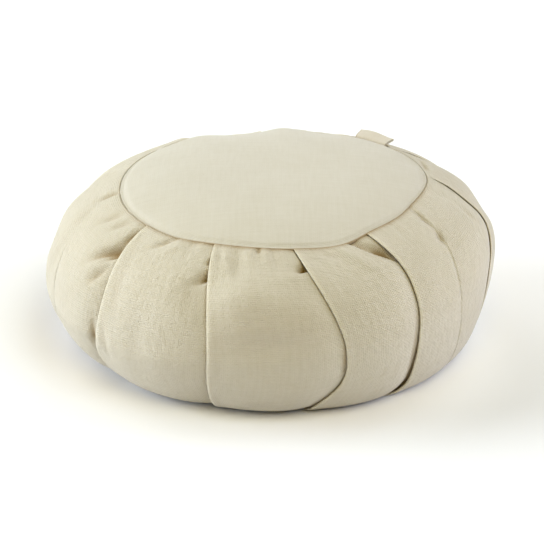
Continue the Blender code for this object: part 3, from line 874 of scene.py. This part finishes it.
def lip_rows(first):
    """The rounded lip over which the first row of the body turns down into the seam."""
    rows = []
    for inward, drop in LIP_STEPS:
        lip = pull_radially(first, np.full(len(first), -inward))
        rows.append(lip - np.array((0.0, 0.0, drop)))
    return rows


def body_rows(azimuth, level, height):
    """The folded cloth, set out from the stuffed body and kept off the floor."""
    body = body_points(azimuth, level) + outward(azimuth, level) * height[..., None]
    body = pull_radially(body, label_room(azimuth) * ease((level - ROOM_FROM) / ROOM_OVER))
    body[..., 2] = np.where(level < 0.0, np.maximum(body[..., 2], FLOOR_LIFT), body[..., 2])
    return body


def band_rows():
    top_places = flat_places(90.0)
    levels = np.concatenate([
        np.linspace(90.0, FINE_ABOVE, FINE_ROWS, endpoint=False),
        np.linspace(FINE_ABOVE, -90.0, BODY_ROWS - FINE_ROWS),
    ])
    sections = [pleat_section(number, levels) for number in range(len(PLEATS))]
    azimuth, height, deep, painted_highlight = [np.hstack(parts) for parts in zip(*sections)]
    level = levels[:, None] + 0.0 * azimuth
    body = body_rows(azimuth, level, height)
    above = turning_rows(top_places) + lip_rows(body[0])
    below = foot_rows(azimuth[-1], height[-1])
    # Painted shade along the seam's line; the slits' painted shade fades out just under the seam.
    seam_line = seam_shade(azimuth) * np.exp(-(90.0 - level) / SEAM_LINE_LEVELS)
    deep = np.maximum(deep * ease(SEAM_SHADE_SHARE + (90.0 - level) / SEAM_SHADE_LEVELS), seam_line)
    ends = ((len(above), len(below)), (0, 0))
    tones = [np.pad(tone, ends, mode="edge") for tone in (deep, painted_highlight)]
    tones[0][: len(above)] = seam_shade(top_places)
    return np.array([*above, *body, *below]), tones


rows, tones = band_rows()
print("band rows and points in each:", rows.shape[:2])

# %% [markdown]
# ## From a flat strip to the pleated band
#
# A maker starts from a flat strip, and so does this step. A grid is the strip, with a column for each
# point of the sections and a row for each level. Every vertex is then carried to its place on the
# body, the two short ends are sewn together, and the two open rings are closed under the panels.
# The cloth keeps a flat map of itself, in metres, so that the weave stays square and the right size.

# %% Side band
PANEL_CLOTH_WIDTH = 0.137
WELD_DISTANCE = 0.000001


def piece_from(name, bm):
    """Turns a finished bmesh into an object of the scene, shaded smooth."""
    bmesh.ops.recalc_face_normals(bm, faces=bm.faces)
    mesh = bpy.data.meshes.new(name)
    bm.to_mesh(mesh)
    bm.free()
    mesh.polygons.foreach_set("use_smooth", [True] * len(mesh.polygons))
    thing = bpy.data.objects.new(name, mesh)
    bpy.context.scene.collection.objects.link(thing)
    print(name, "faces:", len(mesh.polygons))
    return thing


def cloth_map(rows):
    """Flat size of the cloth at each point: along the strip from each panel's middle, and down it."""
    closed = np.concatenate([rows, rows[:, :1]], axis=1)
    along = np.linalg.norm(np.diff(closed, axis=1), axis=2)
    along = np.concatenate([np.zeros((len(rows), 1)), np.cumsum(along, axis=1)], axis=1)
    middles = np.arange(len(PLEATS)) * POINTS_PER_PLEAT + POINTS_PER_PLEAT // 2
    pleat = np.minimum(np.arange(closed.shape[1]) // POINTS_PER_PLEAT, len(PLEATS) - 1)
    along = along - along[:, middles[pleat]] + pleat[None, :] * PANEL_CLOTH_WIDTH
    down = np.linalg.norm(np.diff(closed, axis=0), axis=2).mean(axis=1)
    down = np.concatenate([[0.0], np.cumsum(down)])
    return along, -down


def build_side_band(rows, tones):
    count_down, count_round = rows.shape[:2]
    bm = bmesh.new()
    bmesh.ops.create_grid(bm, x_segments=count_round, y_segments=count_down - 1, size=0.5)
    weave = bm.loops.layers.uv.new("weave")
    along, down = cloth_map(rows)
    # The painted shade and the painted highlight, one value at each vertex.
    layers = [bm.verts.layers.float.new(name) for name in ("deep", "painted_highlight")]
    ends = []
    for vert in bm.verts:
        column = round((vert.co.x + 0.5) * count_round)
        row = round((0.5 - vert.co.y) * (count_down - 1))
        for loop in vert.link_loops:
            loop[weave].uv = (along[row, column], down[row])
        vert.co = rows[row, column % count_round]
        for layer, tone in zip(layers, tones):
            vert[layer] = tone[row, column % count_round]
        if column in (0, count_round):
            ends.append(vert)
    bmesh.ops.remove_doubles(bm, verts=ends, dist=WELD_DISTANCE)
    rims = [edge for edge in bm.edges if edge.is_boundary]
    caps = bmesh.ops.holes_fill(bm, edges=rims, sides=0)["faces"]
    bmesh.ops.poke(bm, faces=caps)
    return piece_from("zafu_side_band", bm)


side_band = build_side_band(rows, tones)

# %% [markdown]
# ## The two round panels
#
# Each panel is a disc of the same canvas. It starts as a circle and grows outwards ring by ring, each
# ring lifted to the height of the stuffing under it, then rolls over into the seam and comes back
# underneath, so that it is a real sheet with two sides. It dips with the slumps, like the band beside
# it, and gets the painted shade of the seam's line along its edge.

# %% A disc with two sides
PANEL_SEGMENTS = 288
FIRST_CIRCLE = 0.01
EDGE_SHADE_REACH = 0.00087


def ring_verts(bm, edges):
    """The outer vertices and edges that an extruded ring has made."""
    made = bmesh.ops.extrude_edge_only(bm, edges=edges)["geom"]
    verts = [item for item in made if isinstance(item, bmesh.types.BMVert)]
    rim = [item for item in made if isinstance(item, bmesh.types.BMEdge)]
    rim = [edge for edge in rim if edge.verts[0] in verts and edge.verts[1] in verts]
    return verts, rim


def azimuth_of(verts):
    return np.array([math.degrees(math.atan2(vert.co.x, -vert.co.y)) for vert in verts])


def set_ring(verts, radius, height):
    azimuth = azimuth_of(verts)
    for vert, point in zip(verts, ring_points(azimuth, radius(azimuth), height(azimuth))):
        vert.co = point


def build_panel(name, front_rings, back_rings, middle_front, middle_back):
    """A disc with two sides: front rings from the middle out, then back rings from the edge in."""
    bm = bmesh.new()
    bmesh.ops.create_circle(bm, cap_ends=False, radius=FIRST_CIRCLE, segments=PANEL_SEGMENTS)
    verts = list(bm.verts)
    edges = list(bm.edges)
    first = list(edges)
    for number, (radius, height) in enumerate(front_rings + back_rings):
        if number > 0:
            verts, edges = ring_verts(bm, edges)
        set_ring(verts, radius, height)
    for rim, middle in ((first, middle_front), (edges, middle_back)):
        cap = bmesh.ops.contextual_create(bm, geom=rim)["faces"]
        hub = bmesh.ops.poke(bm, faces=cap)["verts"][0]
        hub.co = middle
    weave = bm.loops.layers.uv.new("weave")
    deep = bm.verts.layers.float.new("deep")
    for face in bm.faces:
        for loop in face.loops:
            loop[weave].uv = loop.vert.co.xy
    # Painted shade along the panel's edge, for the shade of the seam's groove.
    azimuth = azimuth_of(bm.verts)
    inset = seam_radius(azimuth) - np.array([vert.co.xy.length for vert in bm.verts])
    for vert, tone in zip(bm.verts, seam_shade(azimuth) * bell(inset / EDGE_SHADE_REACH)):
        vert[deep] = tone
    return piece_from(name, bm)


print("points round a panel:", PANEL_SEGMENTS)

# %% [markdown]
# ## The rings of the two panels
#
# A ring is a pair of rules, one for its radius and one for its height. The top panel's rings follow
# the body by a share of the seam's radius, and its last few roll over the edge in steps of less than a
# millimetre. The bottom panel stands on the floor, so its rings are plain circles.

# %% Top and bottom panels
TOP_SHARES = (0.10, 0.20, 0.30, 0.40, 0.50, 0.59, 0.67, 0.74, 0.80, 0.85, 0.89, 0.92, 0.945, 0.965)
TOP_ROLL = (
    (0.0028, 0.0),
    (0.0016, 0.0),
    (0.0009, -0.00005),
    (0.0005, -0.0002),
    (0.00028, -0.0005),
)
TOP_TURN = 0.0010
TOP_BACK_SHARES = (0.96, 0.82, 0.55, 0.20)
BOTTOM_SHARES = (0.2, 0.4, 0.6, 0.8, 0.95)
BOTTOM_ROLL = ((0.0008, 0.0), (0.0002, 0.0003), (0.0, 0.0008))
BOTTOM_BACK_SHARES = (0.8, 0.5, 0.2)


def seam_ring(share=1.0, inset=0.0, lift=0.0):
    """A ring that follows the top seam, at a share of its radius or a little inside it."""

    def radius(azimuth):
        return seam_radius(azimuth) * share - inset

    def height(azimuth):
        return top_height(azimuth, seam_radius(azimuth) * share) + lift

    return radius, height


def flat_ring(size, lift):
    return (lambda azimuth: np.full(len(azimuth), size)), (lambda azimuth: np.full(len(azimuth), lift))


def build_top_panel():
    half_gap = 0.5 * SEAM_GAP
    front = [seam_ring(share) for share in TOP_SHARES]
    front += [seam_ring(inset=inset, lift=lift) for inset, lift in TOP_ROLL]
    back = [seam_ring(inset=half_gap, lift=-drop) for drop in (TOP_TURN, PANEL_THICKNESS)]
    back += [seam_ring(share, lift=-PANEL_THICKNESS) for share in TOP_BACK_SHARES]
    crown = (0.0, 0.0, CROWN_HEIGHT)
    inside = (0.0, 0.0, CROWN_HEIGHT - PANEL_THICKNESS)
    return build_panel("zafu_top_panel", front, back, crown, inside)


def build_bottom_panel():
    edge = BOTTOM_SEAM_RADIUS - 0.5 * SEAM_GAP
    front = [flat_ring(edge * share, 0.0) for share in BOTTOM_SHARES]
    front += [flat_ring(edge - inset, lift) for inset, lift in BOTTOM_ROLL]
    back = [flat_ring(edge, PANEL_THICKNESS)]
    back += [flat_ring(edge * share, PANEL_THICKNESS) for share in BOTTOM_BACK_SHARES]
    return build_panel("zafu_bottom_panel", front, back, (0, 0, 0), (0, 0, PANEL_THICKNESS))


top_panel = build_top_panel()
bottom_panel = build_bottom_panel()

# %% [markdown]
# ## The label
#
# A short length of pale tape is folded double and its two ends are caught in the top seam, so its
# fold stands up and leans back over the shoulder. First the middle line of the folded tape is drawn as
# it is seen from the side, and then a line all the way round it, up the front and down the back.

# %% Side view of the label
TAPE_THICKNESS = 0.0005
LABEL_SINK = 0.0016
LABEL_LENGTH = 0.0100
LABEL_ROOT_ANGLE = math.radians(84.0)
LABEL_REST_ANGLE = math.radians(13.0)
LABEL_BEND = 0.0040
LABEL_STEPS = 16
FOLD_STEPS = 6


def label_spine():
    """(away, up) along the middle of the folded tape: up out of the seam, then bent back over it."""
    spine = [(0.0, -LABEL_SINK)]
    step = LABEL_LENGTH / LABEL_STEPS
    for number in range(LABEL_STEPS):
        bent = float(ease((number + 0.5) * step / LABEL_BEND))
        angle = LABEL_ROOT_ANGLE + (LABEL_REST_ANGLE - LABEL_ROOT_ANGLE) * bent
        away, up = spine[-1]
        spine.append((away + step * math.cos(angle), up + step * math.sin(angle)))
    return spine


def label_profile():
    """(away, up) all the way round the folded tape: up its front, round the fold and down its back."""
    spine = label_spine()
    half = 0.5 * (LABEL_THICKNESS - TAPE_THICKNESS)
    front = []
    back = []
    for number, (away, up) in enumerate(spine):
        before = spine[max(number - 1, 0)]
        after = spine[min(number + 1, LABEL_STEPS)]
        along = Vector((after[0] - before[0], after[1] - before[1])).normalized()
        front.append((away - along.y * half, up + along.x * half))
        back.append((away + along.y * half, up - along.x * half))
    tip = spine[-1]
    fold = []
    for number in range(1, FOLD_STEPS):
        turn = math.pi * number / FOLD_STEPS
        aside = half * math.cos(turn)
        beyond = half * math.sin(turn)
        away = tip[0] - along.y * aside + along.x * beyond
        up = tip[1] + along.x * aside + along.y * beyond
        fold.append((away, up))
    return front + fold + back[::-1]


print("points round the tape:", len(label_profile()))

# %% [markdown]
# ## The tape bent round its fold
#
# The label starts as a small grid, the tape laid flat, and every column of it is bent round the line
# just drawn. Solidify then gives the tape its thickness. It is rucked a little, and painted shade
# darkens one of its two sides, for the shade inside the open fold.

# %% Label tab
LABEL_COLUMNS = 30
SHADED_END = 0.49
RUCK = 0.0010
RUCK_WAVES = 5.0
RUCK_START = 0.6
RUCK_OVER = 0.004


def label_point(across, away, up):
    """A point of the label; across runs from -0.5 to 0.5 along the seam."""
    azimuth = LABEL_AZIMUTH + math.degrees(across * LABEL_WIDTH / float(seam_radius(LABEL_AZIMUTH)))
    turn = math.radians(azimuth)
    out = Vector((math.sin(turn), -math.cos(turn), 0.0))
    seam = float(seam_radius(azimuth))
    lift = RUCK * math.sin(RUCK_WAVES * across + RUCK_START) * max(up, 0.0) / RUCK_OVER
    foot = out * (seam + 0.5 * LABEL_THICKNESS + 0.5 * SEAM_GAP)
    foot.z = float(top_height(azimuth, seam))
    return foot + out * away + Vector((0.0, 0.0, up + lift))


def build_label():
    profile = label_profile()
    last = len(profile) - 1
    bm = bmesh.new()
    bmesh.ops.create_grid(bm, x_segments=LABEL_COLUMNS, y_segments=last, size=0.5)
    weave = bm.loops.layers.uv.new("weave")
    deep = bm.verts.layers.float.new("deep")
    for vert in bm.verts:
        across = vert.co.x
        # Painted shade on the last column at one side, for the shade inside the open fold.
        vert[deep] = 1.0 if across > SHADED_END else 0.0
        row = round((vert.co.y + 0.5) * last)
        for loop in vert.link_loops:
            loop[weave].uv = (across * LABEL_WIDTH, 2.0 * LABEL_LENGTH * row / last)
        vert.co = label_point(across, *profile[row])
    bmesh.ops.recalc_face_normals(bm, faces=bm.faces)
    bmesh.ops.solidify(bm, geom=bm.faces, thickness=TAPE_THICKNESS)
    return piece_from("zafu_label_tab", bm)


label_tab = build_label()

# %% [markdown]
# ## Threads
#
# Natural cotton canvas is a plain weave of slightly uneven threads. Close up, each thread passes over
# and under, and here and there a thicker thread runs as a slub. The weave is drawn in the cloth's own
# flat map: waves both ways make the threads, and noise stretched along each set makes them uneven.
# The ribs that run along the strip stand up more than those across it.

# %% Node helpers
def math_node(tree, operation, first, second=None):
    """Adds a Math node; each value is a number or another node's output."""
    made = tree.nodes.new("ShaderNodeMath")
    made.operation = operation
    for socket, value in zip(made.inputs, (first, second)):
        if isinstance(value, bpy.types.NodeSocket):
            tree.links.new(value, socket)
        elif value is not None:
            socket.default_value = value
    return made.outputs[0]


def times(tree, first, second):
    return math_node(tree, "MULTIPLY", first, second)


def plus(tree, first, second):
    return math_node(tree, "ADD", first, second)


def wave(tree, value):
    return math_node(tree, "SINE", value)


def stretched_noise(tree, place, across, down, detail=2.0):
    """Noise whose grains are so many per metre across and down the cloth."""
    mapping = tree.nodes.new("ShaderNodeMapping")
    tree.links.new(place, mapping.inputs["Vector"])
    mapping.inputs["Scale"].default_value = (across, down, 1.0)
    noise = tree.nodes.new("ShaderNodeTexNoise")
    tree.links.new(mapping.outputs["Vector"], noise.inputs["Vector"])
    noise.inputs["Scale"].default_value = 1.0
    noise.inputs["Detail"].default_value = detail
    noise.inputs["Roughness"].default_value = 0.55
    return noise.outputs["Fac"]


# %% Threads and slubs
CANVAS_PITCH = 0.00135
TAPE_PITCH = 0.00055
WOBBLE = 0.0009
WOBBLE_GRAINS = 90.0
CROSSING_SHARE = 0.18
WARP_RIB = 0.16
WEFT_RIB = 0.38
SLUB_GRAINS_ACROSS = 0.55
SLUB_GRAINS_ALONG = 0.05


def thread_waves(tree, place, thread):
    """The raised threads: ribs both ways and the crossings between them, a little out of true."""
    parts = tree.nodes.new("ShaderNodeSeparateXYZ")
    tree.links.new(place, parts.inputs["Vector"])
    wobble = times(tree, stretched_noise(tree, place, WOBBLE_GRAINS, WOBBLE_GRAINS), WOBBLE)
    turns = 2.0 * math.pi / thread
    along = times(tree, plus(tree, parts.outputs["X"], wobble), turns)
    down = times(tree, plus(tree, parts.outputs["Y"], wobble), turns)
    warp = wave(tree, times(tree, along, 0.5))
    weft = wave(tree, times(tree, down, 0.5))
    crossings = times(tree, times(tree, warp, weft), CROSSING_SHARE)
    warp_ribs = times(tree, wave(tree, along), WARP_RIB)
    weft_ribs = times(tree, wave(tree, down), WEFT_RIB)
    return plus(tree, crossings, plus(tree, warp_ribs, weft_ribs))


def slub_noise(tree, place, thread):
    """Thick and thin stretches of single threads, drawn out along them, both ways."""
    across = SLUB_GRAINS_ACROSS / thread
    along = SLUB_GRAINS_ALONG / thread
    warp_slubs = stretched_noise(tree, place, across, along)
    weft_slubs = stretched_noise(tree, place, along, across)
    return plus(tree, warp_slubs, weft_slubs)


print("canvas threads in 10 cm:", round(0.1 / CANVAS_PITCH))

# %% [markdown]
# ## Colour and grain of the canvas
#
# From a step away only a soft grain and small changes of tone are left. Slubs, a cloudy noise and the
# threads mix a lighter and a darker shade. The two tones that the pieces carry then lay painted shade
# in slits, pockets and the seam's line, and a painted highlight along the edges of the folds. The same
# threads and slubs, with a broad pucker added, raise the bump.

# %% Colour and grain
# Tints for the painted shade and the painted highlight.
SHADE_TINT = (0.56, 0.43, 0.26)
HIGHLIGHT_TINT = (1.16, 1.17, 1.16)
SLUB_TONE = 0.55
CLOUD_TONE = 0.5
THREAD_TONE = 0.30
CLOUD_GRAINS = 28.0
CLOUD_DETAIL = 3.0
DARKEST_TONE = 0.45
LIGHTEST_TONE = 1.15
PUCKER_SHARE = 4.0
PUCKER_GRAINS = 190.0


def toned_by(tree, colour, attribute, tint):
    """Multiplies a colour by a tint, as far as the piece's own attribute says."""
    read = tree.nodes.new("ShaderNodeAttribute")
    read.attribute_name = attribute
    mix = tree.nodes.new("ShaderNodeMix")
    mix.data_type = "RGBA"
    mix.blend_type = "MULTIPLY"
    mix.clamp_factor = True
    mix.inputs["B"].default_value = (*tint, 1.0)
    tree.links.new(read.outputs["Fac"], mix.inputs["Factor"])
    tree.links.new(colour, mix.inputs["A"])
    return mix.outputs["Result"]


def canvas_colour(tree, place, threads, slubs, light, dark):
    cloudy = stretched_noise(tree, place, CLOUD_GRAINS, CLOUD_GRAINS, CLOUD_DETAIL)
    tone = plus(tree, times(tree, slubs, SLUB_TONE), times(tree, cloudy, CLOUD_TONE))
    tone = plus(tree, tone, times(tree, threads, THREAD_TONE))
    share = tree.nodes.new("ShaderNodeMapRange")
    share.inputs["From Min"].default_value = DARKEST_TONE
    share.inputs["From Max"].default_value = LIGHTEST_TONE
    tree.links.new(tone, share.inputs["Value"])
    blend = tree.nodes.new("ShaderNodeMix")
    blend.data_type = "RGBA"
    blend.inputs["A"].default_value = (*dark, 1.0)
    blend.inputs["B"].default_value = (*light, 1.0)
    tree.links.new(share.outputs["Result"], blend.inputs["Factor"])
    # Painted shade from the first tone, and a painted highlight from the second.
    toned = toned_by(tree, blend.outputs["Result"], "deep", SHADE_TINT)
    return toned_by(tree, toned, "painted_highlight", HIGHLIGHT_TINT)


def canvas_bump(tree, place, threads, slubs, depth):
    puckers = times(tree, stretched_noise(tree, place, PUCKER_GRAINS, PUCKER_GRAINS), PUCKER_SHARE)
    bump = tree.nodes.new("ShaderNodeBump")
    bump.inputs["Strength"].default_value = 1.0
    bump.inputs["Distance"].default_value = depth
    tree.links.new(plus(tree, plus(tree, threads, slubs), puckers), bump.inputs["Height"])
    return bump.outputs["Normal"]


print("deepest colour, as a share of the plain one:", SHADE_TINT)

# %% [markdown]
# ## The three cloths
#
# The band and the two panels are the same natural canvas, but the panels are stretched tight, so
# their weave stands up less. The tape is finer. Cotton is matt with a little warm sheen, from the
# fibres that stand off its threads.

# %% Canvas material
def canvas(name, light, dark, thread, depth):
    """Plain-woven cloth: thread is the thread's pitch in metres and depth the bump's height."""
    material = bpy.data.materials.new(name)
    material.use_nodes = True
    tree = material.node_tree
    shader = tree.nodes["Principled BSDF"]
    shader.inputs["Roughness"].default_value = 0.88
    shader.inputs["Specular IOR Level"].default_value = 0.22
    shader.inputs["Sheen Weight"].default_value = 0.18
    shader.inputs["Sheen Roughness"].default_value = 0.45
    shader.inputs["Sheen Tint"].default_value = (1.0, 0.97, 0.90, 1.0)
    uv = tree.nodes.new("ShaderNodeUVMap")
    uv.uv_map = "weave"
    place = uv.outputs["UV"]
    threads = thread_waves(tree, place, thread)
    slubs = slub_noise(tree, place, thread)
    colour = canvas_colour(tree, place, threads, slubs, light, dark)
    tree.links.new(colour, shader.inputs["Base Color"])
    tree.links.new(canvas_bump(tree, place, threads, slubs, depth), shader.inputs["Normal"])
    return material


natural = canvas("natural_canvas", (0.592, 0.546, 0.460), (0.522, 0.472, 0.370), CANVAS_PITCH, 0.00026)
tight = canvas("tight_canvas", (0.570, 0.537, 0.468), (0.515, 0.476, 0.394), CANVAS_PITCH, 0.00008)
tape = canvas("label_tape", (0.610, 0.565, 0.490), (0.535, 0.475, 0.400), TAPE_PITCH, 0.00008)
side_band.data.materials.append(natural)
for piece in (top_panel, bottom_panel):
    piece.data.materials.append(tight)
label_tab.data.materials.append(tape)
print("canvas nodes:", len(natural.node_tree.nodes))

# %% [markdown]
# ## Studio
#
# The cushion stands on a plain, nearly white floor that runs on out of the picture. Soft light comes
# from all round: strong and low from the left, weaker and low from the right, and high from the front
# and from behind. A sun with a wide angle gives each, because it falls evenly on the whole floor and
# its shadow has a soft edge. The suns are tinted against each other, one yellow and most of the others
# a little blue, so that the folds are as warm as natural canvas and the floor still reads as white.

# %% Floor
FLOOR_SIZE = 40.0
FLOOR_DROP = 0.0001
FLOOR_COLOUR = (0.867, 0.868, 0.912)


def build_floor():
    bm = bmesh.new()
    bmesh.ops.create_grid(bm, x_segments=1, y_segments=1, size=0.5 * FLOOR_SIZE)
    floor = piece_from("floor", bm)
    floor.data.transform(Matrix.Translation((0.0, 0.0, -FLOOR_DROP)))
    material = bpy.data.materials.new("floor_white")
    material.use_nodes = True
    shader = material.node_tree.nodes["Principled BSDF"]
    shader.inputs["Base Color"].default_value = (*FLOOR_COLOUR, 1.0)
    shader.inputs["Roughness"].default_value = 0.9
    shader.inputs["Specular IOR Level"].default_value = 0.1
    floor.data.materials.append(material)
    return floor


floor = build_floor()

# %% Lights
SUN_SPREAD = math.radians(40.0)
Sun = namedtuple("Sun", "name azimuth elevation strength colour")
SUNS = [Sun(*row) for row in (
    ("low_left", -96.0, 14.0, 4.20, (0.88, 0.95, 1.00)),
    ("rear_left", -135.0, 42.0, 1.00, (0.99, 0.99, 0.99)),
    ("front", 10.0, 52.0, 0.80, (1.00, 0.72, 0.00)),
    ("front_right", 50.0, 48.0, 1.45, (0.86, 0.95, 1.00)),
    ("low_right", 100.0, 8.0, 2.35, (0.82, 0.82, 1.00)),
    ("rear_right", 130.0, 58.0, 0.80, (0.87, 0.97, 1.00)),
)]


def add_sun(sun):
    data = bpy.data.lights.new(sun.name, "SUN")
    data.energy = sun.strength
    data.angle = SUN_SPREAD
    data.color = sun.colour
    light = bpy.data.objects.new(sun.name, data)
    turn = math.radians(sun.azimuth)
    rise = math.radians(sun.elevation)
    source = Vector((math.sin(turn) * math.cos(rise), -math.cos(turn) * math.cos(rise), math.sin(rise)))
    light.rotation_euler = source.to_track_quat("Z", "Y").to_euler()
    bpy.context.scene.collection.objects.link(light)


def darken_surroundings():
    """The suns alone light the scene, so the world round it gives no light."""
    world = bpy.data.worlds.new("studio")
    world.use_nodes = True
    world.node_tree.nodes["Background"].inputs["Color"].default_value = (1.0, 1.0, 1.0, 1.0)
    world.node_tree.nodes["Background"].inputs["Strength"].default_value = 0.0
    bpy.context.scene.world = world


for sun in SUNS:
    add_sun(sun)
darken_surroundings()
bpy.context.scene.view_settings.view_transform = "Standard"
bpy.context.scene.view_settings.look = "None"
print("suns:", len(SUNS))

# %% [markdown]
# ## Hand the pieces over
#
# Each piece stands for the plain solid of the same name and rides on the cushion's one body, because
# cloth has no joints.

# %% Pieces and bodies
for piece, solid, finish in (
    (side_band, "side_band", "band_canvas"),
    (top_panel, "top_panel", "top_canvas"),
    (bottom_panel, "bottom_panel", "base_canvas"),
    (label_tab, "label_tab", "label_tape"),
):
    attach(piece, "root")
    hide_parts(solid)
